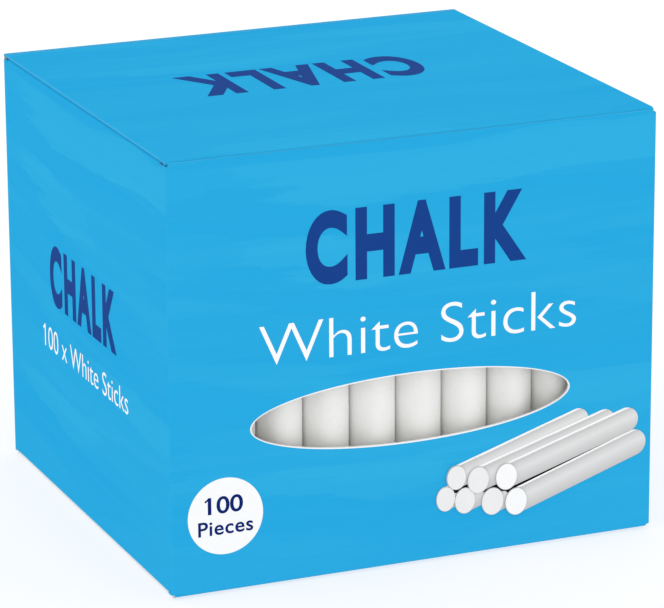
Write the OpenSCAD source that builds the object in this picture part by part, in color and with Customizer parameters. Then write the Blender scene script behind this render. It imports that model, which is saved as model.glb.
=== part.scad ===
/* [Chalk] */
// Diameter of one stick of chalk
stick_d = 9.5; // [7:0.5:14]
// Length of one stick of chalk
stick_len = 80; // [50:1:120]
// Radius of the rounded rim at each end of a stick
stick_rim = 0.6; // [0.2:0.1:1.5]
// Sticks side by side in one row
sticks_per_row = 10; // [6:1:12]
// Rows from the front of the carton to the back
rows = 10; // [4:1:12]
// Clearance between neighbouring sticks
stick_gap = 0.1; // [0.05:0.05:0.4]
// Sideways shift of every second row, which lets the rows nest
row_shift = 3.4; // [1:0.1:4.5]

/* [Board] */
// Thickness of the folding board
board = 0.5; // [0.3:0.05:0.8]
// Inner radius of a folded edge
crease_r = 0.3; // [0.2:0.05:0.6]
// Clearance between two layers of board that slide past each other
slide_gap = 0.1; // [0.05:0.05:0.3]
// Clearance between the chalk and the walls of the carton
pack_gap = 0.2; // [0.1:0.05:0.6]
// Free height between the chalk and the dust flaps
head_room = 2.9; // [1.5:0.1:3.5]

/* [Window] */
// Width of the oval window in the front panel
window_w = 66; // [30:1:70]
// Height of the oval window
window_h = 13.6; // [8:0.2:30]
// Height of the middle of the window above the table
window_z = 32; // [20:0.5:50]
// Sideways place of the middle of the window
window_x = -0.9; // [-4:0.1:4]

/* [Lid] */
// Length of the tuck flap at the front of the lid
tuck_len = 14; // [8:0.5:20]
// Radius of the rounded corners of the tuck flap
tuck_corner_r = 9; // [4:0.5:12]
// Clearance between the lid and the front panel
lid_gap = 0.3; // [0.2:0.05:0.5]
// Amount by which each side of the lid stands back from the side panel
lid_inset = 0.4; // [0.2:0.1:1]
// Amount by which each side of the tuck flap stands back from the side panel
tuck_inset = 1.3; // [1:0.1:3]
// Amount by which the front panel stops below the top of the lid
front_drop = 0.3; // [0:0.05:0.4]

/* [Flaps] */
// Length of the two dust flaps under the lid
dust_len = 35; // [15:1:40]
// Amount by which a dust flap stands back from the front and back panels
dust_relief = 3; // [2.5:0.5:6]
// Amount by which each side of a dust flap narrows towards its tip
dust_taper = 7; // [2:0.5:12]
// Radius of the rounded corners of a dust flap
dust_corner_r = 8; // [3:0.5:12]
// Clearance left at the cut edges of the bottom flaps
bottom_gap = 1; // [0.5:0.1:3]
// Width of the glued tab inside the back left corner
tab_w = 14; // [8:1:25]
// Distance from each end of the tab to the top and the bottom of the carton
tab_relief = 4; // [3:0.5:10]
// Clearance between the glued edge of the back panel and the corner
seam_gap = 0.4; // [0.2:0.1:1]

/* [Hidden] */
$fn = 64;

// Next hundredth of a millimetre, so that faces that touch share the same plane
function round_up(x) = ceil(100 * x - 0.001) / 100;

stick_r = stick_d / 2;
stick_pitch = stick_d + stick_gap;
row_pitch = round_up(sqrt(stick_pitch * stick_pitch - row_shift * row_shift));
block_w = (sticks_per_row - 1) * stick_pitch + stick_d + row_shift;
block_d = (rows - 1) * row_pitch + stick_d;

fold_r = board + crease_r;

// The tuck flap leans inwards, so that its tip clears the front panel as the lid swings up.
tuck_lean = asin(tuck_len / (2 * block_d));
tuck_room = round_up(lid_gap + board + tuck_len * sin(tuck_lean) + pack_gap);

floor_z = 3 * board;
carton_w = block_w + 2 * (pack_gap + board);
carton_d = board + tuck_room + block_d + pack_gap + 2 * board;
dust_z = floor_z + stick_len + head_room + board;
carton_h = dust_z + slide_gap + board;

half_w = carton_w / 2;
half_d = carton_d / 2;
first_row_y = -half_d + board + tuck_room + stick_r;
lid_front_y = -half_d + board + lid_gap;
front_top = carton_h - front_drop;
back_top = carton_h - board - slide_gap;

// The upright folds stop short of the folds of the flaps and the lid.
corner_bottom = 2 * board + slide_gap;
corner_top = carton_h - fold_r - slide_gap;

// Half the length of each fold and each panel, from its middle to one end
long_flap_half = half_w - fold_r - slide_gap;
short_flap_half = half_d - fold_r - bottom_gap;
dust_half = half_d - dust_relief;
tuck_half = half_w - tuck_inset;
lid_half = half_w - lid_inset;

// Extra length of a cutter past the surface that it cuts
over = 1;

function two_digits(i) = i < 10 ? str("0", i) : str(i);
function stick_name(i) = str("chalk_stick_", two_digits(i));
function row_name(i) = str("chalk_row_", two_digits(i));

// Rectangle with true round corners, centred on the origin
module rounded_rect(w, d, r) {
    square([w - 2 * r, d], center = true);
    square([w, d - 2 * r], center = true);
    for (x = [-1, 1], y = [-1, 1])
        translate([x * (w / 2 - r), y * (d / 2 - r)]) circle(r);
}

// Board that turns a corner: a quarter of a ring, below and left of its centre
module fold_ring() {
    intersection() {
        difference() {
            circle(fold_r);
            circle(crease_r);
        }
        translate([-fold_r, -fold_r]) square(fold_r);
    }
}

// Section through a fold: the wall goes up and the flap goes right from the outer corner
module fold_section(wall, flap) {
    translate([0, fold_r]) square([board, wall - fold_r]);
    translate([fold_r, 0]) square([flap - fold_r, board]);
    translate([fold_r, fold_r]) fold_ring();
}

// Points along an arc
function arc(centre, r, from, to, steps = 24) =
    [for (i = [0 : steps]) let (a = from + (to - from) * i / steps) centre + r * [cos(a), sin(a)]];

// Outline of a flap that leaves its fold at x = 0 and narrows to a tip with round corners
module flap_outline(root_half, tip_half, reach, corner_r) {
    r = min(corner_r, reach, tip_half);
    c = [reach - r, tip_half - r];
    // Direction from the middle of a corner to where the side of the flap meets it
    side = 90 + atan2(c.y - root_half, c.x) + asin(r / norm(c - [0, root_half]));
    polygon(concat(
        [[0, -root_half]], arc([c.x, -c.y], r, -side, 0), arc(c, r, 0, side), [[0, root_half]]
    ));
}

// Oval with the given width and height, as points of an ellipse
module oval(w, h) {
    points = 96;
    polygon([for (i = [0 : points - 1]) [w / 2 * cos(360 * i / points), h / 2 * sin(360 * i / points)]]);
}

// Plan of the four walls: three round folds, and a glued seam at the back left corner
module wall_plan() {
    seam = 2 * fold_r;
    difference() {
        rounded_rect(carton_w, carton_d, fold_r);
        rounded_rect(carton_w - 2 * board, carton_d - 2 * board, crease_r);
        translate([-half_w - over, half_d - seam]) square([seam + over, seam + over]);
    }
    translate([-half_w + seam_gap, half_d - board]) square([seam - seam_gap, board]);
    translate([-half_w, half_d - board]) mirror([0, 1]) fold_section(seam, seam);
}

// Walls between the folds of the bottom flaps and the folds of the dust flaps
module walls() {
    difference() {
        translate([0, 0, corner_bottom])
            linear_extrude(front_top - corner_bottom) wall_plan();
        // The walls stop below the lid, apart from the front panel.
        translate([-half_w - over, -half_d + fold_r, corner_top])
            cube([carton_w + 2 * over, carton_d + over, carton_h]);
        for (side = [-1, 1])
            translate([side * half_w, -half_d + fold_r / 2, corner_top + carton_h / 2])
                cube([2 * fold_r, 2 * fold_r, carton_h], center = true);
        for (side = [-1, 1]) {
            // Room for the fold of each dust flap
            translate([side * half_w, 0, dust_z])
                cube([2 * fold_r, 2 * dust_half, 2 * fold_r], center = true);
            // Room for the fold of each short bottom flap
            translate([side * half_w, 0, 2 * board])
                cube([2 * fold_r, 2 * short_flap_half, 2 * fold_r], center = true);
        }
        // Room for the fold of the inner long bottom flap
        translate([0, -half_d, board])
            cube([2 * long_flap_half, 2 * fold_r, 2 * fold_r], center = true);
    }
}

// Back panel between the upright folds, from the bottom fold to the crease of the lid
module back_panel() {
    translate([-long_flap_half, half_d - board, fold_r])
        cube([2 * long_flap_half, board, back_top - fold_r]);
}

// Tab inside the back left corner, glued to the back panel
module glue_tab() {
    translate([-half_w + fold_r, half_d - 2 * board, tab_relief])
        cube([tab_w, board, carton_h - 2 * tab_relief]);
}

// Strip of a fold that runs along Y and joins the left or right wall to a level flap
module side_fold(side, outer_z, up, half_len) {
    translate([side * half_w, 0, outer_z]) mirror([side > 0 ? 1 : 0, 0, 0]) mirror([0, 0, up ? 0 : 1])
        rotate([90, 0, 0]) linear_extrude(2 * half_len, center = true)
            fold_section(2 * fold_r, 2 * fold_r);
}

// Strip of a fold that runs along X and joins the front or back wall to a bottom flap
module end_fold(side, outer_z) {
    translate([0, side * half_d, outer_z]) mirror([0, side > 0 ? 1 : 0, 0])
        rotate([90, 0, 90]) linear_extrude(2 * long_flap_half, center = true)
            fold_section(2 * fold_r, 2 * fold_r);
}

module dust_flap(side) {
    side_fold(side, dust_z, false, dust_half);
    translate([side * (half_w - fold_r), 0, dust_z - board]) mirror([side > 0 ? 1 : 0, 0, 0])
        linear_extrude(board)
            flap_outline(dust_half, dust_half - dust_taper, dust_len - fold_r, dust_corner_r);
}

// Short flap of the glued bottom, on which the chalk stands
module short_bottom_flap(side) {
    reach = half_w - bottom_gap / 2;
    side_fold(side, 2 * board, true, short_flap_half);
    translate([side * (half_w - reach / 2 - fold_r / 2), 0, 2.5 * board])
        cube([reach - fold_r, 2 * short_flap_half, board], center = true);
}

// Long flap of the glued bottom, folded from the front or the back panel
module long_bottom_flap(side, outer_z) {
    reach = carton_d - fold_r - bottom_gap;
    end_fold(side, outer_z);
    translate([-long_flap_half, side > 0 ? half_d - reach : -half_d + fold_r, outer_z])
        cube([2 * long_flap_half, reach - fold_r, board]);
}

module window_cut() {
    translate([window_x, -half_d, window_z]) rotate([90, 0, 0])
        linear_extrude(4 * fold_r, center = true) oval(window_w, window_h);
}

module carton() {
    color("deepskyblue") difference() {
        union() {
            walls();
            back_panel();
            glue_tab();
            long_bottom_flap(1, 0);
            long_bottom_flap(-1, board);
            for (side = [-1, 1]) {
                short_bottom_flap(side);
                dust_flap(side);
            }
        }
        window_cut();
    }
}

// Section of the lid, from the crease at its back edge to past the tip of the tuck flap
module lid_section() {
    crease = [half_d - board, carton_h - board];
    front_fold = [lid_front_y + fold_r, carton_h - fold_r];
    down = [sin(tuck_lean), -cos(tuck_lean)];
    out = [-cos(tuck_lean), -sin(tuck_lean)];
    polygon(concat(
        arc(crease, board, 0, 90),
        arc(front_fold, fold_r, 90, 180 + tuck_lean),
        [front_fold + fold_r * out + tuck_len * down, front_fold + crease_r * out + tuck_len * down],
        arc(front_fold, crease_r, 180 + tuck_lean, 90)
    ));
}

// All that is cut away beside and below the tuck flap
module tuck_trim() {
    translate([0, -half_d, carton_h - fold_r]) rotate([90, 0, 0])
        linear_extrude(half_d, center = true) difference() {
            translate([-half_w, -tuck_len - over]) square([carton_w, tuck_len + over]);
            rotate(-90) flap_outline(tuck_half, tuck_half, tuck_len - fold_r, tuck_corner_r);
        }
}

module lid() {
    color("deepskyblue") difference() {
        rotate([90, 0, 90]) linear_extrude(2 * lid_half, center = true) lid_section();
        tuck_trim();
    }
}

// One stick, standing on its end
module chalk_stick() {
    body_r = stick_r - stick_rim;
    color("white") rotate_extrude() {
        square([body_r, stick_len]);
        translate([0, stick_rim]) square([stick_r, stick_len - 2 * stick_rim]);
        intersection() {
            for (z = [stick_rim, stick_len - stick_rim]) translate([body_r, z]) circle(stick_rim);
            square([stick_r, stick_len]);
        }
    }
}

// Stick number i of a row, where i and row both start from 1
module placed_stick(i, row) {
    shift = (row % 2 == 1 ? -1 : 1) * row_shift / 2;
    x = (i - (sticks_per_row + 1) / 2) * stick_pitch + shift;
    translate([x, first_row_y + (row - 1) * row_pitch, floor_z]) chalk_stick();
}

module chalk_row(row) {
    for (i = [1 : sticks_per_row]) placed_stick(i, row);
}

carton();
lid();
for (i = [1 : sticks_per_row])
    placed_stick(i, 1);
for (i = [2 : rows])
    chalk_row(i);
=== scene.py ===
import math
import random

import bpy
from mathutils import Matrix, Vector
from mathutils.bvhtree import BVHTree


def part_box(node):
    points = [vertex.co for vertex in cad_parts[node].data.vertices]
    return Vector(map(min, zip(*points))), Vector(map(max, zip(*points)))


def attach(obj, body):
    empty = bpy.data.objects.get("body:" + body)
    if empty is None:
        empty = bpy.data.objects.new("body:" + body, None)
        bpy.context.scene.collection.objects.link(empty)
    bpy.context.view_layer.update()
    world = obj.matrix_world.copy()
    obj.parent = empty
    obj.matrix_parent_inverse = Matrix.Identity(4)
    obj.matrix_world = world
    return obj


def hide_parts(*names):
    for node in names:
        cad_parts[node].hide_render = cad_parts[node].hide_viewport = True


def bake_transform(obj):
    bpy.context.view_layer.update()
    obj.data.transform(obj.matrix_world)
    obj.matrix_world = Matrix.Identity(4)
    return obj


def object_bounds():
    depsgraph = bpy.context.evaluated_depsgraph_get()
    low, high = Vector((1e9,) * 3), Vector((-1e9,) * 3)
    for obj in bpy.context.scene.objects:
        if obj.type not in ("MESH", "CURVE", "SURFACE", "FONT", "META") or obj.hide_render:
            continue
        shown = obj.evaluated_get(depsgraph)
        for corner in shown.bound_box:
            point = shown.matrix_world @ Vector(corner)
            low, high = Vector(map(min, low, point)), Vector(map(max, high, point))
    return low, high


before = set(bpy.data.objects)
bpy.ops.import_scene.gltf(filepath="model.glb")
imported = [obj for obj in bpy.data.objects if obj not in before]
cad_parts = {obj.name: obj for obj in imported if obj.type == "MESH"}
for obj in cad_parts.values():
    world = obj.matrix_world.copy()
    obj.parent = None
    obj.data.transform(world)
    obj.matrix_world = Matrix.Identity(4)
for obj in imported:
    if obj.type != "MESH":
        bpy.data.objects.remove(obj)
cadLow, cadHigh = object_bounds()
mm = 0.001
halfWidth, halfDepth, boxHeight = cadHigh.x, cadHigh.y, cadHigh.z
print("frame loaded,", len(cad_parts), "nodes")


# small helpers for working the way one does by hand
def takeOnly(piece):
    bpy.ops.object.select_all(action="DESELECT")
    piece.select_set(True)
    bpy.context.view_layer.objects.active = piece


def nameNew(name):
    piece = bpy.context.object
    piece.name = name
    piece.data.name = name
    return piece


def fixPlace(piece, place=None):
    if place is not None:
        piece.matrix_world = place
    takeOnly(piece)
    bpy.ops.object.transform_apply(location=True, rotation=True, scale=True)


def copyPiece(piece, name, place):
    copy = bpy.data.objects.new(name, piece.data.copy())
    copy.data.name = name
    bpy.context.collection.objects.link(copy)
    fixPlace(copy, place)
    return copy


def joinPieces(pieces, name):
    takeOnly(pieces[0])
    for piece in pieces:
        piece.select_set(True)
    bpy.ops.object.join()
    return nameNew(name)


def editFaces(piece, wanted):
    # goes into edit mode with only the faces that pass the test selected
    takeOnly(piece)
    bpy.ops.object.mode_set(mode="EDIT")
    bpy.ops.mesh.select_mode(type="FACE")
    bpy.ops.mesh.select_all(action="DESELECT")
    bpy.ops.object.mode_set(mode="OBJECT")
    for face in piece.data.polygons:
        face.select = wanted(face)
    bpy.ops.object.mode_set(mode="EDIT")


def editPoints(piece, wanted):
    takeOnly(piece)
    bpy.ops.object.mode_set(mode="EDIT")
    bpy.ops.mesh.select_mode(type="VERT")
    bpy.ops.mesh.select_all(action="DESELECT")
    bpy.ops.object.mode_set(mode="OBJECT")
    for point in piece.data.vertices:
        point.select = wanted(point.co)
    bpy.ops.object.mode_set(mode="EDIT")


def leaveEdit():
    bpy.ops.object.mode_set(mode="OBJECT")


def useModifier(piece, kind, **settings):
    takeOnly(piece)
    modifier = piece.modifiers.new(kind.title(), kind)
    for key, value in settings.items():
        setattr(modifier, key, value)
    bpy.ops.object.modifier_apply(modifier=modifier.name)


def faceOutward(piece, mergeWithin=0.0):
    takeOnly(piece)
    bpy.ops.object.mode_set(mode="EDIT")
    bpy.ops.mesh.select_all(action="SELECT")
    if mergeWithin:
        bpy.ops.mesh.remove_doubles(threshold=mergeWithin)
    bpy.ops.mesh.normals_make_consistent(inside=False)
    leaveEdit()


def smoothBy(piece, degrees):
    takeOnly(piece)
    bpy.ops.object.shade_smooth_by_angle(angle=math.radians(degrees))


def removePiece(piece):
    bpy.data.objects.remove(piece)


def fromBytes(red, green, blue):
    # screen colour to the linear one that the shader takes
    values = []
    for byte in (red, green, blue):
        part = byte / 255
        values.append(part / 12.92 if part <= 0.04045 else ((part + 0.055) / 1.055) ** 2.4)
    return (*values, 1)


# node helpers
def newGroup(name, inputs, outputs):
    group = bpy.data.node_groups.new(name, "ShaderNodeTree")
    for label, kind, value in inputs:
        socket = group.interface.new_socket(name=label, in_out="INPUT", socket_type=kind)
        if value is not None:
            socket.default_value = value
    for label, kind in outputs:
        group.interface.new_socket(name=label, in_out="OUTPUT", socket_type=kind)
    start = group.nodes.new("NodeGroupInput")
    end = group.nodes.new("NodeGroupOutput")
    return group, start, end


def addNode(tree, kind, settings=None, values=None):
    node = tree.nodes.new(kind)
    for key, value in (settings or {}).items():
        setattr(node, key, value)
    for key, value in (values or {}).items():
        node.inputs[key].default_value = value
    return node


def mathNode(tree, operation, first, second):
    node = addNode(tree, "ShaderNodeMath", {"operation": operation})
    for index, value in enumerate((first, second)):
        if hasattr(value, "is_linked"):
            tree.links.new(value, node.inputs[index])
        else:
            node.inputs[index].default_value = value
    return node.outputs[0]


def sumOf(tree, first, firstShare, second, secondShare):
    return mathNode(tree, "ADD", mathNode(tree, "MULTIPLY", first, firstShare),
                    mathNode(tree, "MULTIPLY", second, secondShare))


def swing(tree, value, amount):
    # a value from 0 to 1 becomes one that swings evenly about zero
    return mathNode(tree, "MULTIPLY", mathNode(tree, "SUBTRACT", value, 0.5), amount)


def setStops(ramp, stops):
    while len(ramp.color_ramp.elements) < len(stops):
        ramp.color_ramp.elements.new(0.5)
    for element, (position, colour) in zip(ramp.color_ramp.elements, stops):
        element.position = position
        element.color = colour


def stretchedNoise(tree, vector, stretch, detail, roughness):
    mapping = addNode(tree, "ShaderNodeMapping", values={"Scale": stretch})
    texture = addNode(tree, "ShaderNodeTexNoise", values={
        "Scale": 1.0, "Detail": detail, "Roughness": roughness})
    tree.links.new(vector, mapping.inputs["Vector"])
    tree.links.new(mapping.outputs[0], texture.inputs["Vector"])
    return texture.outputs["Fac"]


# painted ground: long flat dabs laid along X, ragged at their ends, with the bristle lines of the brush
strokeSizes = {
    "sway": 0.014, "fray": 0.036,     # metres that the hand's sway and the bristles move a dab's edges
    "swayNoise": (13, 20, 13), "frayNoise": (12, 1100, 12),
    "wideDabs": (22, 125, 1), "narrowDabs": (26, 400, 1), "bristles": (16, 1700, 1),  # per metre
    "wideShare": 0.8, "narrowShare": 0.2,
    # most wide dabs are plain, many a shade darker, and a few light: from which draw on, and how light
    "levels": ((0.0, 0.27), (0.4, 0.5), (0.9, 0.78)),
}


def addDabs(group, vector, scale):
    mapping = addNode(group, "ShaderNodeMapping", values={"Scale": scale})
    dabs = addNode(group, "ShaderNodeTexVoronoi",
                   {"voronoi_dimensions": "2D", "feature": "F1", "distance": "CHEBYCHEV"},
                   {"Scale": 1.0, "Randomness": 0.85})
    channels = addNode(group, "ShaderNodeSeparateColor")
    group.links.new(vector, mapping.inputs["Vector"])
    group.links.new(mapping.outputs[0], dabs.inputs["Vector"])
    group.links.new(dabs.outputs["Color"], channels.inputs[0])
    return channels.outputs["Red"]


def makeBrushGroup():
    group, start, end = newGroup(
        "brushStrokes",
        [("Vector", "NodeSocketVector", None),
         ("Light", "NodeSocketColor", (1, 1, 1, 1)), ("Dark", "NodeSocketColor", (0, 0, 0, 1)),
         ("Streaks", "NodeSocketFloat", 0.3)],
        [("Colour", "NodeSocketColor")])
    links = group.links
    where = start.outputs["Vector"]
    # the hand's sway lifts and drops the strokes, and the bristles fray their ends
    sway = stretchedNoise(group, where, strokeSizes["swayNoise"], 1.0, 0.4)
    fray = stretchedNoise(group, where, strokeSizes["frayNoise"], 2.0, 0.7)
    split = addNode(group, "ShaderNodeSeparateXYZ")
    links.new(where, split.inputs[0])
    swayed = mathNode(group, "ADD", split.outputs["Y"], swing(group, sway, strokeSizes["sway"]))
    frayed = mathNode(group, "ADD", split.outputs["X"], swing(group, fray, strokeSizes["fray"]))
    bent = addNode(group, "ShaderNodeCombineXYZ")
    links.new(frayed, bent.inputs["X"])
    links.new(swayed, bent.inputs["Y"])
    wide = addDabs(group, bent.outputs[0], strokeSizes["wideDabs"])
    narrow = addDabs(group, bent.outputs[0], strokeSizes["narrowDabs"])
    bristles = stretchedNoise(group, bent.outputs[0], strokeSizes["bristles"], 3.0, 0.7)
    levels = addNode(group, "ShaderNodeValToRGB")
    levels.color_ramp.interpolation = "CONSTANT"
    setStops(levels, [(position, (grey, grey, grey, 1)) for position, grey in strokeSizes["levels"]])
    links.new(wide, levels.inputs[0])
    tone = sumOf(group, levels.outputs["Color"], strokeSizes["wideShare"],
                 narrow, strokeSizes["narrowShare"])
    total = mathNode(group, "ADD", tone, swing(group, bristles, start.outputs["Streaks"]))
    blendTone = addNode(group, "ShaderNodeMix", {"data_type": "RGBA", "clamp_factor": True})
    links.new(total, blendTone.inputs["Factor"])
    links.new(start.outputs["Dark"], blendTone.inputs["A"])
    links.new(start.outputs["Light"], blendTone.inputs["B"])
    links.new(blendTone.outputs["Result"], end.inputs["Colour"])
    return group


# short fibres and specks of folding board
def makeFibreGroup():
    group, start, end = newGroup(
        "boardFibre",
        [("Vector", "NodeSocketVector", None), ("Fine", "NodeSocketFloat", 2500.0)],
        [("Tone", "NodeSocketFloat"), ("Height", "NodeSocketFloat")])
    links = group.links
    cloudy = addNode(group, "ShaderNodeTexNoise", values={"Scale": 120.0, "Detail": 4.0, "Roughness": 0.6})
    fine = addNode(group, "ShaderNodeTexNoise", values={"Detail": 3.0, "Roughness": 0.7})
    specks = addNode(group, "ShaderNodeTexVoronoi", {"feature": "F1"}, {"Scale": 900.0})
    for texture in (cloudy, fine, specks):
        links.new(start.outputs["Vector"], texture.inputs["Vector"])
    links.new(start.outputs["Fine"], fine.inputs["Scale"])
    speckMask = mathNode(group, "GREATER_THAN", specks.outputs["Distance"], 0.14)
    fibres = sumOf(group, cloudy.outputs["Fac"], 0.6, fine.outputs["Fac"], 0.4)
    speckTone = mathNode(group, "ADD", mathNode(group, "MULTIPLY", speckMask, 0.25), 0.75)
    links.new(mathNode(group, "MULTIPLY", fibres, speckTone), end.inputs["Tone"])
    links.new(fine.outputs["Fac"], end.inputs["Height"])
    return group


# pressed chalk: powdery blotches, open pores and long faint drag marks
def makeChalkGroup():
    group, start, end = newGroup(
        "chalkGrain",
        [("Vector", "NodeSocketVector", None), ("Pores", "NodeSocketFloat", 1400.0)],
        [("Tone", "NodeSocketFloat"), ("Height", "NodeSocketFloat")])
    links = group.links
    where = start.outputs["Vector"]
    blotch = addNode(group, "ShaderNodeTexNoise", values={"Scale": 140.0, "Detail": 5.0, "Roughness": 0.62})
    powder = addNode(group, "ShaderNodeTexNoise", values={"Detail": 4.0, "Roughness": 0.75})
    pores = addNode(group, "ShaderNodeTexVoronoi", {"feature": "F1"}, {"Randomness": 1.0})
    for texture in (blotch, powder, pores):
        links.new(where, texture.inputs["Vector"])
    links.new(start.outputs["Pores"], powder.inputs["Scale"])
    links.new(mathNode(group, "MULTIPLY", start.outputs["Pores"], 0.7), pores.inputs["Scale"])
    drag = stretchedNoise(group, where, (900, 900, 18), 2.0, 0.5)
    pits = mathNode(group, "LESS_THAN", pores.outputs["Distance"], 0.17)
    surface = sumOf(group, powder.outputs["Fac"], 0.7, drag, 0.3)
    tone = sumOf(group, blotch.outputs["Fac"], 0.6, surface, 0.4)
    for value, pitDepth, output in ((tone, 0.25, "Tone"), (surface, 0.6, "Height")):
        pitted = mathNode(group, "SUBTRACT", value, mathNode(group, "MULTIPLY", pits, pitDepth))
        links.new(pitted, end.inputs[output])
    return group


brushStrokes = makeBrushGroup()
boardFibre = makeFibreGroup()
chalkGrain = makeChalkGroup()


def startMaterial(name, roughness, specular, turn=(0, 0, 0)):
    # a Principled shader and the piece's own coordinates, turned by a Mapping node
    material = bpy.data.materials.new(name)
    material.use_nodes = True
    tree = material.node_tree
    shader = tree.nodes["Principled BSDF"]
    shader.inputs["Roughness"].default_value = roughness
    shader.inputs["Specular IOR Level"].default_value = specular
    coordinates = addNode(tree, "ShaderNodeTexCoord")
    mapping = addNode(tree, "ShaderNodeMapping", values={"Rotation": turn})
    tree.links.new(coordinates.outputs["Object"], mapping.inputs["Vector"])
    return material, tree, shader, mapping.outputs[0]


def addBump(tree, shader, height, strength, distance):
    bump = addNode(tree, "ShaderNodeBump", values={"Strength": strength, "Distance": distance})
    tree.links.new(height, bump.inputs["Height"])
    tree.links.new(bump.outputs["Normal"], shader.inputs["Normal"])


def mixColours(tree, factor, first, second):
    mix = addNode(tree, "ShaderNodeMix", {"data_type": "RGBA", "clamp_factor": True})
    mix.inputs["A"].default_value = first
    mix.inputs["B"].default_value = second
    tree.links.new(factor, mix.inputs["Factor"])
    return mix.outputs["Result"]


# the printed ground, with its colours as a screen shows them
boardInk = {
    "light": (52, 178, 227), "dark": (35, 166, 224),
    "streaks": 0.4,
    "roughness": 0.7, "specular": 0.002,
    "fibre": 1800.0, "bump": 0.12, "bumpDepth": 0.02 * mm,
}
# raw board and plain inks: the scale of their fibres, shine, bump and its depth
coats = {
    "board": (3000.0, 0.08, 0.35, 0.04 * mm),
    "ink": (2200.0, 0.012, 0.1, 0.02 * mm),
}
chalkLook = {
    "light": (254, 254, 252), "dark": (236, 236, 234),
    "roughness": 0.95, "specular": 0.1,
    "pores": 1300.0, "bump": 0.5, "bumpDepth": 0.06 * mm,
}


def printedBoard(name, turn):
    material, tree, shader, where = startMaterial(name, boardInk["roughness"], boardInk["specular"], turn)
    strokes = addNode(tree, "ShaderNodeGroup", {"node_tree": brushStrokes}, {
        "Light": fromBytes(*boardInk["light"]), "Dark": fromBytes(*boardInk["dark"]),
        "Streaks": boardInk["streaks"]})
    tree.links.new(where, strokes.inputs["Vector"])
    tree.links.new(strokes.outputs["Colour"], shader.inputs["Base Color"])
    fibre = addNode(tree, "ShaderNodeGroup", {"node_tree": boardFibre}, {"Fine": boardInk["fibre"]})
    tree.links.new(where, fibre.inputs["Vector"])
    addBump(tree, shader, fibre.outputs["Height"], boardInk["bump"], boardInk["bumpDepth"])
    return material


def coatedBoard(name, coat, light, dark, roughness):
    # a little blotchy, as board takes up ink and light unevenly
    fibreScale, specular, strength, depth = coats[coat]
    material, tree, shader, where = startMaterial(name, roughness, specular)
    fibre = addNode(tree, "ShaderNodeGroup", {"node_tree": boardFibre}, {"Fine": fibreScale})
    tree.links.new(where, fibre.inputs["Vector"])
    colour = mixColours(tree, fibre.outputs["Tone"], fromBytes(*dark), fromBytes(*light))
    tree.links.new(colour, shader.inputs["Base Color"])
    addBump(tree, shader, fibre.outputs["Height"], strength, depth)
    return material


quarter = math.pi / 2
frontBoard = printedBoard("printedFrontBoard", (-quarter, 0, 0))  # X across, Z up
sideBoard = printedBoard("printedSideBoard", (-quarter, quarter, 0))  # Y across, Z up
topBoard = printedBoard("printedTopBoard", (0, 0, 0))
greyBack = coatedBoard("rawInsideBoard", "board", (226, 224, 218), (196, 193, 186), 0.85)
whiteCore = coatedBoard("cutCoreBoard", "board", (250, 250, 248), (226, 226, 222), 0.9)
# blue for cut edges in the outer skin, lighter than the print itself: painted light that lifts the shade in
# the grooves along the lid and at the top
inkedEdgePaintedLight = coatedBoard("inkedEdgePaintedLightBoard", "board", (62, 184, 236), (42, 164, 218), 0.7)
navyInk = coatedBoard("navyInk", "ink", (28, 70, 146), (24, 62, 134), 0.6)
deepInk = coatedBoard("deepNavyInk", "ink", (14, 42, 118), (8, 32, 102), 0.6)
whiteInk = coatedBoard("whiteInk", "ink", (255, 255, 255), (246, 248, 250), 0.6)
blackInk = coatedBoard("blackInk", "ink", (26, 26, 28), (14, 14, 16), 0.6)
paleInk = coatedBoard("paleInk", "ink", (246, 246, 246), (230, 230, 230), 0.6)
softGrey = coatedBoard("softGreyInk", "ink", (206, 206, 206), (190, 190, 190), 0.6)


def chalkMaterial():
    material, tree, shader, where = startMaterial(
        "pressedChalk", chalkLook["roughness"], chalkLook["specular"])
    grain = addNode(tree, "ShaderNodeGroup", {"node_tree": chalkGrain}, {"Pores": chalkLook["pores"]})
    tree.links.new(where, grain.inputs["Vector"])
    colour = mixColours(tree, grain.outputs["Tone"],
                        fromBytes(*chalkLook["dark"]), fromBytes(*chalkLook["light"]))
    tree.links.new(colour, shader.inputs["Base Color"])
    addBump(tree, shader, grain.outputs["Height"], chalkLook["bump"], chalkLook["bumpDepth"])
    return material


pressedChalk = chalkMaterial()
print("materials made")


# folding board: the carton and its lid, with print outside, raw grey inside and cut edges
boardSizes = {
    "thickness": 0.5 * mm,
    "cutFrom": 3.4,            # a face with more thicknesses of board behind it is a cut edge
    "lookThrough": 5 * mm,
    "fold": 0.9 * mm,          # how far the outer faces and their folds reach in
    "topSkin": 1.2 * mm, "lidSkin": 1.0 * mm,           # and down from the top
    "bottomSkin": 1.6 * mm, "undersideSkin": 1.3 * mm,  # and up from the bottom
    "flapBleed": 6.0 * mm,     # print that runs over onto the dust flaps
    "tuckBleed": 8.0 * mm,     # and down the tuck flap
    "facing": 0.3,             # least part of a normal that counts as facing a way
    "smooth": 32,
}


def copyNode(node, name):
    piece = bpy.data.objects.new(name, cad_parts[node].data.copy())
    piece.data.name = name
    bpy.context.collection.objects.link(piece)
    takeOnly(piece)
    bpy.ops.object.mode_set(mode="EDIT")
    bpy.ops.mesh.select_all(action="SELECT")
    bpy.ops.mesh.remove_doubles(threshold=1e-6)
    leaveEdit()
    piece.data.materials.clear()
    return piece


def cutAcross(piece, point, direction):
    editFaces(piece, lambda face: True)
    bpy.ops.mesh.bisect(plane_co=point, plane_no=direction)
    leaveEdit()


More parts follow.
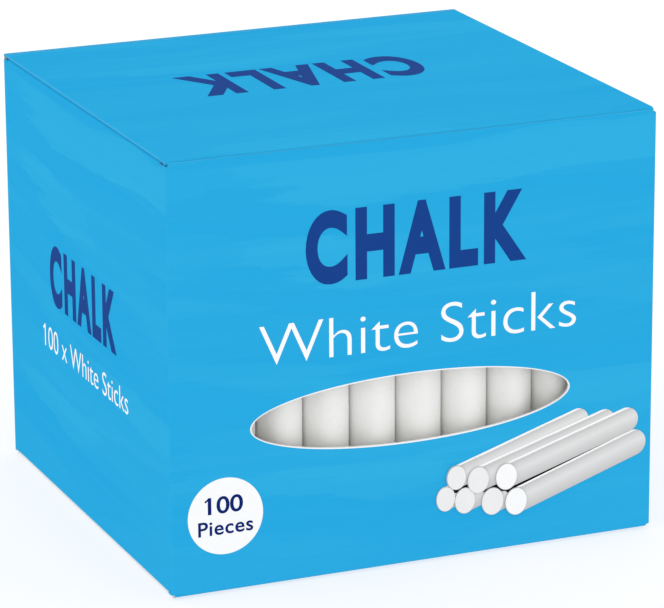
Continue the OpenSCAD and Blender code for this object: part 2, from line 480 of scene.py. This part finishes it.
def finishBoard(piece, finishOf, materials):
    # each face gets its finish by its place; glued layers are thinner than the board behind a cut edge
    for material in materials:
        piece.data.materials.append(material)
    mesh = piece.data
    tree = BVHTree.FromPolygons([point.co for point in mesh.vertices],
                                [tuple(face.vertices) for face in mesh.polygons])
    for face in mesh.polygons:
        inward = tree.ray_cast(face.center - face.normal * 1e-5, -face.normal, boardSizes["lookThrough"])
        isCut = inward[0] is None or inward[3] > boardSizes["thickness"] * boardSizes["cutFrom"]
        face.material_index = materials.index(finishOf(face.center, face.normal, isCut))
    smoothBy(piece, boardSizes["smooth"])
    useModifier(piece, "WEIGHTED_NORMAL", mode="FACE_AREA", weight=50, keep_sharp=True)


def cartonFinish(at, out, isCut):
    edgeX, edgeY = halfWidth - boardSizes["fold"], halfDepth - boardSizes["fold"]
    facing = boardSizes["facing"]
    upHigh = out.z > facing and at.z > boxHeight - boardSizes["topSkin"]
    if upHigh and at.y > edgeY:
        return greyBack  # under the crease's own skin
    if isCut:
        # the edges in the outer skin take the print's blue, a little lighter than the print: a painted
        # highlight that lifts the shade of the grooves beside them
        outermost = abs(at.x) > edgeX or abs(at.y) > edgeY
        inSkin = at.z > boxHeight - boardSizes["topSkin"] or at.z < boardSizes["bottomSkin"]
        return inkedEdgePaintedLight if outermost and inSkin else whiteCore
    if abs(out.y) > facing and abs(at.y) > edgeY and out.y * at.y > 0 and abs(out.y) >= abs(out.x):
        return frontBoard
    if abs(out.x) > facing and abs(at.x) > edgeX and out.x * at.x > 0:
        return sideBoard
    if out.z < -facing and at.z < boardSizes["undersideSkin"]:
        return topBoard
    if upHigh and abs(at.x) > halfWidth - boardSizes["flapBleed"]:
        return topBoard
    return greyBack


def lidFinish(at, out, isCut):
    facing = boardSizes["facing"]
    if out.y > facing and at.y > halfDepth - boardSizes["fold"]:
        return greyBack  # under the crease's own skin
    if isCut:
        # the lid's cut edges take the lighter blue, a painted highlight against the shade of the groove
        # over the dust flaps
        return inkedEdgePaintedLight
    if out.z > facing and at.z > boxHeight - boardSizes["lidSkin"]:
        return topBoard
    if out.y < -facing and at.z > boxHeight - boardSizes["tuckBleed"]:
        return frontBoard
    return greyBack


cartonBoard = copyNode("carton", "cartonBoard")
for side in (-1, 1):
    cutAcross(cartonBoard, (side * (halfWidth - boardSizes["flapBleed"]), 0, 0), (1, 0, 0))
finishBoard(cartonBoard, cartonFinish,
            [frontBoard, sideBoard, topBoard, greyBack, whiteCore, inkedEdgePaintedLight])
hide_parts("carton")
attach(cartonBoard, "box")

lidBoard = copyNode("lid", "lidBoard")
cutAcross(lidBoard, (0, 0, boxHeight - boardSizes["tuckBleed"]), (0, 0, 1))
finishBoard(lidBoard, lidFinish, [frontBoard, topBoard, greyBack, inkedEdgePaintedLight])
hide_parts("lid")
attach(lidBoard, "lid")
print("board made")


# the outer skin of the board over the back crease, where the board bends when the lid turns; it is modelled
# here at rest
creaseSizes = {
    "length": 99.8 * mm,
    "skin": 0.04 * mm,
    "down": 1.4 * mm,       # how far it reaches down the back and in over the lid
    "radius": 0.5 * mm,
    "thickness": 0.03 * mm,
    "flatSteps": 4, "bendSteps": 8,
}


def modelCreaseStrip():
    skin, radius = creaseSizes["skin"], creaseSizes["radius"]
    flatSteps, bendSteps = creaseSizes["flatSteps"], creaseSizes["bendSteps"]
    flatStep = (creaseSizes["down"] - radius) / flatSteps
    lowest = boxHeight - creaseSizes["down"] - 0.01 * mm
    bpy.ops.object.select_all(action="DESELECT")
    bpy.ops.mesh.primitive_plane_add(size=1, location=(0, halfDepth + skin, lowest))
    strip = nameNew("creaseStrip")
    strip.scale = (creaseSizes["length"], 1e-6, 1)
    fixPlace(strip)
    # start from one edge and draw it up the back and round onto the lid
    editPoints(strip, lambda at: True)
    bpy.ops.mesh.remove_doubles(threshold=1e-5)
    for _ in range(flatSteps):
        bpy.ops.mesh.extrude_region_move(TRANSFORM_OT_translate={"value": (0, 0, flatStep)})
    last = (0.0, 0.0)
    for step in range(1, bendSteps + 1):
        angle = quarter * step / bendSteps
        here = ((radius + skin) * (math.cos(angle) - 1), (radius + skin) * math.sin(angle))
        bpy.ops.mesh.extrude_region_move(
            TRANSFORM_OT_translate={"value": (0, here[0] - last[0], here[1] - last[1])})
        last = here
    for _ in range(flatSteps):
        bpy.ops.mesh.extrude_region_move(TRANSFORM_OT_translate={"value": (0, -flatStep, 0)})
    leaveEdit()
    useModifier(strip, "SOLIDIFY", thickness=creaseSizes["thickness"], offset=0)
    faceOutward(strip)
    smoothBy(strip, boardSizes["smooth"])
    materials = [frontBoard, topBoard, greyBack]
    for material in materials:
        strip.data.materials.append(material)
    for face in strip.data.polygons:
        if min(face.normal.y, face.normal.z) < -boardSizes["facing"]:
            finish = greyBack  # its inner side shows raw when the lid is open
        else:
            finish = topBoard if face.normal.z > face.normal.y else frontBoard
        face.material_index = materials.index(finish)
    return strip


creaseStrip = modelCreaseStrip()
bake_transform(creaseStrip)
print("crease strip made")


# chalk sticks, modelled once and copied with a turn of their own
stickLow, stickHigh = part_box("chalk_stick_01")
chalkSizes = {
    "radius": (stickHigh.x - stickLow.x) / 2,
    "length": stickHigh.z - stickLow.z,
    "rim": 0.6 * mm,
    "perRow": 10, "rows": 10,
    "frontDetail": (72, 36, 3), "rowDetail": (36, 5, 1),  # sides, lengths and rings on the ends
    "unevenness": 0.05 * mm, "unevenEvery": 9 * mm,
    "grain": 0.03 * mm, "grainEvery": 1.6 * mm,
    "chips": 3,
    "chipDepth": (0.25, 0.6), "chipSpread": (0.9, 1.8),  # least and most, in mm
    "chipAlong": 0.8,
    "patterns": 3,
    "smooth": 38,
    "seed": 21,
}
chalkRandom = random.Random(chalkSizes["seed"])
slowTexture = bpy.data.textures.new("slowUnevenness", "CLOUDS")
slowTexture.noise_scale = chalkSizes["unevenEvery"]
fineTexture = bpy.data.textures.new("fineUnevenness", "CLOUDS")
fineTexture.noise_scale = chalkSizes["grainEvery"]
fineTexture.noise_depth = 3


def modelStick(name, sides, cuts, endRings):
    radius, length, rim = chalkSizes["radius"], chalkSizes["length"], chalkSizes["rim"]
    bpy.ops.object.select_all(action="DESELECT")
    bpy.ops.mesh.primitive_cylinder_add(vertices=sides, radius=radius, depth=length)
    stick = nameNew(name)
    editFaces(stick, lambda face: abs(face.normal.z) > 0.9)
    bpy.ops.mesh.bevel(offset=rim, segments=3, profile=0.5, affect="EDGES")
    leaveEdit()
    for cut in range(1, cuts):
        height = (cut / cuts - 0.5) * (length - 2 * rim)
        editFaces(stick, lambda face: True)
        bpy.ops.mesh.bisect(plane_co=(0, 0, height), plane_no=(0, 0, 1))
        leaveEdit()
    editFaces(stick, lambda face: abs(face.normal.z) > 0.99 and len(face.vertices) > 4)
    for _ in range(endRings):
        bpy.ops.mesh.inset(thickness=(radius - rim) / (endRings + 1))
    bpy.ops.mesh.poke()
    leaveEdit()
    return stick


def roughenStick(stick):
    # the surface is only ever lowered, so that the stick keeps clear of its neighbours
    useModifier(stick, "DISPLACE", texture=slowTexture, mid_level=1.0,
                strength=chalkSizes["unevenness"], texture_coords="LOCAL")
    useModifier(stick, "DISPLACE", texture=fineTexture, mid_level=1.0,
                strength=chalkSizes["grain"], texture_coords="LOCAL")
    radius, length = chalkSizes["radius"], chalkSizes["length"]
    for _ in range(chalkSizes["chips"]):
        turn = chalkRandom.uniform(0, 2 * math.pi)
        end = chalkRandom.choice((-1, 1))
        rim = Vector((radius * math.cos(turn), radius * math.sin(turn), end * length / 2))
        nearest = min(stick.data.vertices, key=lambda point: (point.co - rim).length).index
        bite = chalkRandom.uniform(*chalkSizes["chipDepth"]) * mm
        editPoints(stick, lambda at: False)
        leaveEdit()
        stick.data.vertices[nearest].select = True
        bpy.ops.object.mode_set(mode="EDIT")
        bpy.ops.transform.translate(
            value=(-bite * math.cos(turn), -bite * math.sin(turn), -end * bite * chalkSizes["chipAlong"]),
            use_proportional_edit=True, proportional_edit_falloff="SMOOTH",
            proportional_size=chalkRandom.uniform(*chalkSizes["chipSpread"]) * mm)
        leaveEdit()
    stick.data.materials.append(pressedChalk)
    smoothBy(stick, chalkSizes["smooth"])


def anyTurn():
    return Matrix.Rotation(chalkRandom.uniform(0, 2 * math.pi), 4, "Z")


plainStick = modelStick("plainStick", *chalkSizes["frontDetail"])
for number in range(1, chalkSizes["perRow"] + 1):
    node = "chalk_stick_%02d" % number
    low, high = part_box(node)
    stick = copyPiece(plainStick, "chalkStick%02d" % number, anyTurn())
    roughenStick(stick)
    fixPlace(stick, Matrix.Translation((low + high) / 2))
    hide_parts(node)
    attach(stick, "box")
removePiece(plainStick)

# a few lighter sticks stand for the rows behind
rowSticks = []
for number in range(chalkSizes["patterns"]):
    rowStick = modelStick("rowStick%d" % number, *chalkSizes["rowDetail"])
    roughenStick(rowStick)
    rowSticks.append(rowStick)
for row in range(2, chalkSizes["rows"] + 1):
    node = "chalk_row_%02d" % row
    low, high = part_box(node)
    middle = (low + high) / 2
    pitch = (high.x - low.x - 2 * chalkSizes["radius"]) / (chalkSizes["perRow"] - 1)
    copies = []
    for column in range(chalkSizes["perRow"]):
        place = Vector((low.x + chalkSizes["radius"] + column * pitch, middle.y, middle.z))
        turned = anyTurn()
        pattern = rowSticks[chalkRandom.randrange(chalkSizes["patterns"])]
        copies.append(copyPiece(pattern, "rowCopy", Matrix.Translation(place) @ turned))
    chalkRow = joinPieces(copies, "chalkRow%02d" % row)
    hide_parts(node)
    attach(chalkRow, "box")
for rowStick in rowSticks:
    removePiece(rowStick)
print("chalk made")


# print on the faces: thin closed plates, set by how far across and down the face they sit
printSizes = {
    "sunk": 0.02 * mm,
    "proud": 0.03 * mm,
    "flagUnder": 0.004 * mm,   # the flag's top stays this much under the figure's
    "mergeWithin": 1e-6,
    "letterSize": 0.01, "letterDepth": 0.001, "letterSteps": 8,  # before the words are fitted
}
# each face: its middle, the way its print reads, the way up, and its size
faceFrames = {
    "front": ((0, -halfDepth, boxHeight / 2), (1, 0, 0), (0, 0, 1), 2 * halfWidth, boxHeight),
    "left": ((-halfWidth, 0, boxHeight / 2), (0, -1, 0), (0, 0, 1), 2 * halfDepth, boxHeight),
    "right": ((halfWidth, 0, boxHeight / 2), (0, 1, 0), (0, 0, 1), 2 * halfDepth, boxHeight),
    "top": ((0, 0, boxHeight), (-1, 0, 0), (0, -1, 0), 2 * halfWidth, 2 * halfDepth),
}


def facePlace(face, across, down):
    middle, right, up, width, height = faceFrames[face]
    middle, right, up = Vector(middle), Vector(right), Vector(up)
    at = middle + right * (across - 0.5) * width + up * (0.5 - down) * height
    turn = Matrix((right, up, right.cross(up))).transposed().to_4x4()
    return Matrix.Translation(at) @ turn


def finishPrint(piece, body):
    faceOutward(piece, printSizes["mergeWithin"])
    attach(piece, body)


def writeWords(name, words, size, weight, ink, spacing=1.0, proud=None):
    # text becomes a mesh, is fitted to its width and height, and lies flat at the origin
    bpy.ops.object.select_all(action="DESELECT")
    bpy.ops.object.text_add()
    writing = nameNew(name)
    writing.data.body = words
    writing.data.size = printSizes["letterSize"]
    writing.data.offset = weight
    writing.data.space_character = spacing
    writing.data.resolution_u = printSizes["letterSteps"]
    writing.data.extrude = printSizes["letterDepth"]
    bpy.ops.object.convert(target="MESH")
    piece = nameNew(name)
    piece.data.materials.clear()
    piece.data.materials.append(ink)
    corners = [point.co for point in piece.data.vertices]
    low = Vector([min(corner[axis] for corner in corners) for axis in range(3)])
    high = Vector([max(corner[axis] for corner in corners) for axis in range(3)])
    thick = printSizes["sunk"] + (proud or printSizes["proud"])
    wanted, now = (*size, thick), high - low
    scale = Matrix.Diagonal((wanted[0] / now.x, wanted[1] / now.y, wanted[2] / now.z, 1))
    lift = thick / 2 - printSizes["sunk"]
    fixPlace(piece, Matrix.Translation((0, 0, lift)) @ scale @ Matrix.Translation(-(low + high) / 2))
    return piece


# the built-in figure one is a plain bar: a short slanted flag at its top makes it read as a one
flagShares = {
    # shares of the figures' height, and the slant in degrees
    "length": 0.3, "thickness": 0.105,
    "left": 0.045, "down": 0.14,
    "stem": 0.05, "trimAt": 0.1,
    "slant": 36,
}


def addFlag(piece, proud=None):
    points = [point.co for point in piece.data.vertices]
    left = min(point.x for point in points)
    tall = max(point.y for point in points) - min(point.y for point in points)
    top = max(point.y for point in points if point.x < left + flagShares["stem"] * tall)
    low, high = -printSizes["sunk"], (proud or printSizes["proud"]) - printSizes["flagUnder"]
    bpy.ops.object.select_all(action="DESELECT")
    bpy.ops.mesh.primitive_cube_add(size=1, location=(0, 0, (low + high) / 2))
    flag = nameNew("flag")
    flag.scale = (flagShares["length"] * tall, flagShares["thickness"] * tall, high - low)
    fixPlace(flag)
    place = (left - flagShares["left"] * tall, top - flagShares["down"] * tall, 0)
    slanted = Matrix.Rotation(math.radians(flagShares["slant"]), 4, "Z")
    fixPlace(flag, Matrix.Translation(place) @ slanted)
    # trim what stands above the figure and through its stem
    trimAt = left + flagShares["trimAt"] * tall
    for point, direction in (((0, top, 0), (0, 1, 0)), ((trimAt, 0, 0), (1, 0, 0))):
        editFaces(flag, lambda face: True)
        bpy.ops.mesh.bisect(plane_co=point, plane_no=direction, use_fill=True, clear_outer=True)
        leaveEdit()
    flag.data.materials.append(piece.data.materials[0])
    return joinPieces([piece, flag], piece.name)


# the bold word on each face: how far across and down, its size and its body
boldWord = {
    "words": "CHALK",
    "weight": 0.0005,
    "spacing": 1.24,
    "front": (0.501, 0.232, (45.4 * mm, 14.4 * mm), "box"),
    "left": (0.493, 0.455, (38.8 * mm, 12.8 * mm), "box"),
    "right": (0.493, 0.455, (38.8 * mm, 12.8 * mm), "box"),
    "top": (0.514, 0.552, (49.6 * mm, 17.2 * mm), "lid"),
}
for face in ("front", "left", "right", "top"):
    across, down, size, body = boldWord[face]
    word = writeWords(face + "Word", boldWord["words"], size, boldWord["weight"], navyInk,
                      boldWord["spacing"])
    fixPlace(word, facePlace(face, across, down))
    finishPrint(word, body)

# each line: its words, weight, face, how far across and down, and its size
thinLines = {
    "frontLine": ("White Sticks", -0.00012, "front", 0.507, 0.4385, (65.6 * mm, 7.9 * mm)),
    "leftLine": ("100 x White Sticks", -0.00008, "left", 0.502, 0.620, (49.1 * mm, 4.7 * mm)),
    "rightLine": ("100 x White Sticks", -0.00008, "right", 0.502, 0.620, (49.1 * mm, 4.7 * mm)),
}
for name, (words, weight, face, across, down, size) in thinLines.items():
    line = writeWords(name, words, size, weight, whiteInk)
    if words[0] == "1":
        line = addFlag(line)
    fixPlace(line, facePlace(face, across, down))
    finishPrint(line, "box")
print("words made")


# white roundel with its count
roundelSizes = {
    "across": 0.1095, "down": 0.8176,
    "radius": 7.6 * mm, "sides": 96,
    "weight": 0.00014, "above": 0.02 * mm,
    "number": (7.1 * mm, 3.45 * mm), "numberDown": -2.3 * mm, "numberSpacing": 0.97,
    "unit": (11.1 * mm, 2.9 * mm), "unitDown": 2.15 * mm, "unitSpacing": 1.06,
}


def plateFromCircle(name, sides, radius, low, high, ink):
    bpy.ops.object.select_all(action="DESELECT")
    bpy.ops.mesh.primitive_circle_add(vertices=sides, radius=radius, fill_type="NGON", location=(0, 0, low))
    piece = nameNew(name)
    fixPlace(piece)
    bpy.ops.object.mode_set(mode="EDIT")
    bpy.ops.mesh.select_all(action="SELECT")
    bpy.ops.mesh.extrude_region_move(TRANSFORM_OT_translate={"value": (0, 0, high - low)})
    leaveEdit()
    faceOutward(piece)
    piece.data.materials.append(ink)
    return piece


roundelPlace = facePlace("front", roundelSizes["across"], roundelSizes["down"])
roundel = plateFromCircle("roundel", roundelSizes["sides"], roundelSizes["radius"],
                          -printSizes["sunk"], printSizes["proud"], whiteInk)
fixPlace(roundel, roundelPlace)
finishPrint(roundel, "box")
labelProud = printSizes["proud"] + roundelSizes["above"]
for name, words, row in (("roundelNumber", "100", "number"), ("roundelUnit", "Pieces", "unit")):
    size, down = roundelSizes[row], roundelSizes[row + "Down"]
    label = writeWords(name, words, size, roundelSizes["weight"], deepInk,
                       roundelSizes[row + "Spacing"], labelProud)
    if words[0] == "1":
        label = addFlag(label, labelProud)
    fixPlace(label, roundelPlace @ Matrix.Translation((0, -down, 0)))
    finishPrint(label, "box")
print("roundel made")


# fine white line round the window
windowSizes = {
    "across": -0.9 * mm, "up": 32.0 * mm,
    "width": 66.0 * mm, "height": 13.6 * mm,
    "line": 0.24 * mm,
    "sides": 160,
}


def modelWindowLine():
    low, high = -printSizes["sunk"], printSizes["proud"]
    bpy.ops.object.select_all(action="DESELECT")
    bpy.ops.mesh.primitive_circle_add(vertices=windowSizes["sides"], radius=1, fill_type="NOTHING")
    line = nameNew("windowLine")
    halfSpan, halfRise = windowSizes["width"] / 2, windowSizes["height"] / 2
    fixPlace(line, Matrix.Diagonal((halfSpan, halfRise, 1, 1)))
    editPoints(line, lambda at: True)
    bpy.ops.mesh.extrude_edges_move()
    bpy.ops.transform.resize(value=((halfSpan + windowSizes["line"]) / halfSpan,
                                    (halfRise + windowSizes["line"]) / halfRise, 1),
                             center_override=(0, 0, 0))
    bpy.ops.mesh.select_all(action="SELECT")
    bpy.ops.transform.translate(value=(0, 0, low))
    bpy.ops.mesh.extrude_region_move(TRANSFORM_OT_translate={"value": (0, 0, high - low)})
    leaveEdit()
    line.data.materials.append(whiteInk)
    return line


windowLine = modelWindowLine()
windowAt = (0.5 + windowSizes["across"] / (2 * halfWidth), 1 - windowSizes["up"] / boxHeight)
fixPlace(windowLine, facePlace("front", *windowAt))
finishPrint(windowLine, "box")
print("window line made")


# the printed pile of sticks at the front's lower right: seven bodies, white ends and the dark between
# each stick: near end, far end, the near end's half width and half height, the far end's radius, in mm
pileSizes = {
    "step": 0.02 * mm,         # each layer stands this much above the last
    "outline": 0.1 * mm,
    "sides": 40,
    "nearBulge": 0.6,          # the near end's disc is flattened to this share
    # greys across a stick, from its lower edge to its upper one, and how mottled they are
    "greys": ((0.0, 196), (0.2, 208), (0.55, 226), (0.78, 212), (0.9, 196), (0.945, 250), (1.0, 255)),
    "mottle": 0.12, "fibre": 2200.0,
    "roughness": 0.5, "specular": 0.2,
    "lowerBack": [((56.4, 12.5), (74.0, 18.4), 1.9, 2.42, 2.3),
                  ((60.45, 11.65), (78.0, 17.5), 2.08, 2.55, 2.35),
                  ((66.3, 10.7), (84.0, 16.6), 2.25, 2.68, 2.45)],
    "dark": [((58.6, 14.3), (70.6, 12.9), 0.9, 0.9, 0.7),
             ((69.6, 12.65), (94.2, 20.5), 0.8, 0.8, 0.3)],
    "lowerFront": [((71.3, 10.0), (96.6, 18.5), 2.25, 2.68, 2.68)],
    "upper": [((58.6, 16.6), (84.5, 24.95), 1.95, 2.36, 2.2),
              ((63.2, 15.5), (90.2, 23.95), 2.18, 2.62, 2.25),
              ((69.15, 15.4), (95.0, 23.4), 2.2, 2.6, 2.52)],
}


def picturedChalk():
    # greys run across the stick's width, read from its UV map
    material, tree, shader, where = startMaterial(
        "picturedChalk", pileSizes["roughness"], pileSizes["specular"])
    unwrapped = addNode(tree, "ShaderNodeUVMap", {"uv_map": "acrossStick"})
    split = addNode(tree, "ShaderNodeSeparateXYZ")
    tree.links.new(unwrapped.outputs[0], split.inputs[0])
    fibre = addNode(tree, "ShaderNodeGroup", {"node_tree": boardFibre}, {"Fine": pileSizes["fibre"]})
    tree.links.new(where, fibre.inputs["Vector"])
    mottled = mathNode(tree, "ADD", split.outputs["Y"],
                       swing(tree, fibre.outputs["Tone"], pileSizes["mottle"]))
    ramp = addNode(tree, "ShaderNodeValToRGB")
    tree.links.new(mottled, ramp.inputs["Fac"])
    setStops(ramp, [(position, fromBytes(grey, grey, grey)) for position, grey in pileSizes["greys"]])
    tree.links.new(ramp.outputs["Color"], shader.inputs["Base Color"])
    return material


picturedBody = picturedChalk()


def picturedStick(stick, low, high, ink):
    # a disc whose far half is drawn out along the stick
    near, far, _, halfTall, farRadius = stick
    run = (Vector(far) - Vector(near)) * mm
    radius, length, taper = halfTall * mm, run.length, farRadius / halfTall
    plate = plateFromCircle("picturedStick", pileSizes["sides"], radius, low, high, ink)
    editPoints(plate, lambda at: at.x < -1e-6)
    bpy.ops.transform.resize(value=(pileSizes["nearBulge"], 1, 1), center_override=(0, 0, 0))
    leaveEdit()
    editPoints(plate, lambda at: at.x > -1e-6)
    bpy.ops.transform.resize(value=(taper, taper, 1), center_override=(0, 0, 0))
    bpy.ops.transform.translate(value=(length, 0, 0))
    leaveEdit()
    layer = plate.data.uv_layers.new(name="acrossStick")
    for loop in plate.data.loops:
        at = plate.data.vertices[loop.vertex_index].co
        local = radius if at.x < length / 2 else farRadius * mm
        layer.data[loop.index].uv = (at.x / length, 0.5 + at.y / (2 * local))
    fixPlace(plate, pilePlace(near) @ Matrix.Rotation(math.atan2(run.y, run.x), 4, "Z"))
    return plate


def picturedEnd(stick, grow, low, high, ink):
    near, _, halfWide, halfTall, _ = stick
    disc = plateFromCircle("picturedEnd", pileSizes["sides"], 1 * mm, low, high, ink)
    fixPlace(disc, Matrix.Diagonal((halfWide + grow / mm, halfTall + grow / mm, 1, 1)))
    fixPlace(disc, pilePlace(near))
    return disc


def pilePlace(near):
    # from the face's lower left corner to its middle
    return Matrix.Translation((near[0] * mm - halfWidth, near[1] * mm - boxHeight / 2, 0))


def modelPile():
    plates = []
    level = 0
    base, step = -printSizes["sunk"], pileSizes["step"]
    for part in ("lowerBack", "dark", "lowerFront", "upper"):
        for stick in pileSizes[part]:
            level += 1
            ink = blackInk if part == "dark" else picturedBody
            plates.append(picturedStick(stick, base, level * step, ink))
    brightEnds = (pileSizes["lowerFront"][-1], pileSizes["upper"][-1])
    for stick in pileSizes["lowerBack"] + pileSizes["lowerFront"] + pileSizes["upper"]:
        plates.append(picturedEnd(stick, pileSizes["outline"], base, (level + 1) * step, softGrey))
        ink = whiteInk if stick in brightEnds else paleInk
        plates.append(picturedEnd(stick, 0, base, (level + 2) * step, ink))
        level += 2
    return joinPieces(plates, "picturedPile")


picturedPile = modelPile()
fixPlace(picturedPile, facePlace("front", 0.5, 0.5))
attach(picturedPile, "box")
print("pictured pile made")


# floor, light and camera
studio = {
    "floorSize": 6.0, "floorGlow": 0.68,
    "floorLight": (0.36, 0.36, 0.36, 1), "floorDark": (0.34, 0.34, 0.34, 1),
    "worldStrength": 0.94,
    # each light: place, size and power
    "lights": {
        "keyLight": ((-0.85, -0.75, 1.95), 1.6, 3.4),
        "fillLight": ((-0.5, -1.6, 0.35), 1.0, 0.4),
    },
    "lightsAimAt": (0, 0, 0.04),
    "aim": (1.57 * mm, -1.5 * mm, 39.6 * mm),
    "azimuth": -22.56, "elevation": 16.9, "roll": -0.35,
    "distance": 815.2 * mm,
    "lens": 220.9, "sensor": 36,
    "near": 0.01, "far": 50,
}


def makeFloor():
    bpy.ops.object.select_all(action="DESELECT")
    bpy.ops.mesh.primitive_grid_add(x_subdivisions=8, y_subdivisions=8, size=studio["floorSize"])
    floor = nameNew("floor")
    material, tree, shader, where = startMaterial("paleFloor", 0.9, 0.1)
    cloudy = addNode(tree, "ShaderNodeTexNoise", values={"Scale": 3.0, "Detail": 2.0})
    tree.links.new(where, cloudy.inputs["Vector"])
    mottled = mixColours(tree, cloudy.outputs["Fac"], studio["floorDark"], studio["floorLight"])
    tree.links.new(mottled, shader.inputs["Base Color"])
    # a softly lit floor, as over a light table, keeps the ground pale right up to the box
    shader.inputs["Emission Color"].default_value = (1, 1, 1, 1)
    shader.inputs["Emission Strength"].default_value = studio["floorGlow"]
    floor.data.materials.append(material)


def makeLights():
    world = bpy.data.worlds.new("softRoom")
    world.use_nodes = True
    background = world.node_tree.nodes["Background"]
    background.inputs["Color"].default_value = (1, 1, 1, 1)
    background.inputs["Strength"].default_value = studio["worldStrength"]
    bpy.context.scene.world = world
    for name, (place, size, power) in studio["lights"].items():
        bpy.ops.object.select_all(action="DESELECT")
        bpy.ops.object.light_add(type="AREA", location=place)
        light = nameNew(name)
        light.data.size = size
        light.data.energy = power
        toward = Vector(studio["lightsAimAt"]) - light.location
        light.rotation_euler = toward.to_track_quat("-Z", "Y").to_euler()


def makeCamera():
    azimuth, elevation = math.radians(studio["azimuth"]), math.radians(studio["elevation"])
    away = Vector((math.sin(azimuth) * math.cos(elevation), -math.cos(azimuth) * math.cos(elevation),
                   math.sin(elevation)))
    bpy.ops.object.select_all(action="DESELECT")
    bpy.ops.object.camera_add(location=Vector(studio["aim"]) + away * studio["distance"])
    camera = nameNew("camera")
    rolled = Matrix.Rotation(math.radians(studio["roll"]), 3, "Z")
    look = (-away).to_track_quat("-Z", "Y").to_matrix() @ rolled
    camera.rotation_euler = look.to_euler()
    camera.data.sensor_width = studio["sensor"]
    camera.data.sensor_fit = "HORIZONTAL"
    camera.data.lens = studio["lens"]
    camera.data.clip_start = studio["near"]
    camera.data.clip_end = studio["far"]
    bpy.context.scene.camera = camera


makeFloor()
makeLights()
makeCamera()
bpy.context.scene.view_settings.view_transform = "Standard"
bpy.context.scene.view_settings.look = "None"
print("floor, light and camera made")
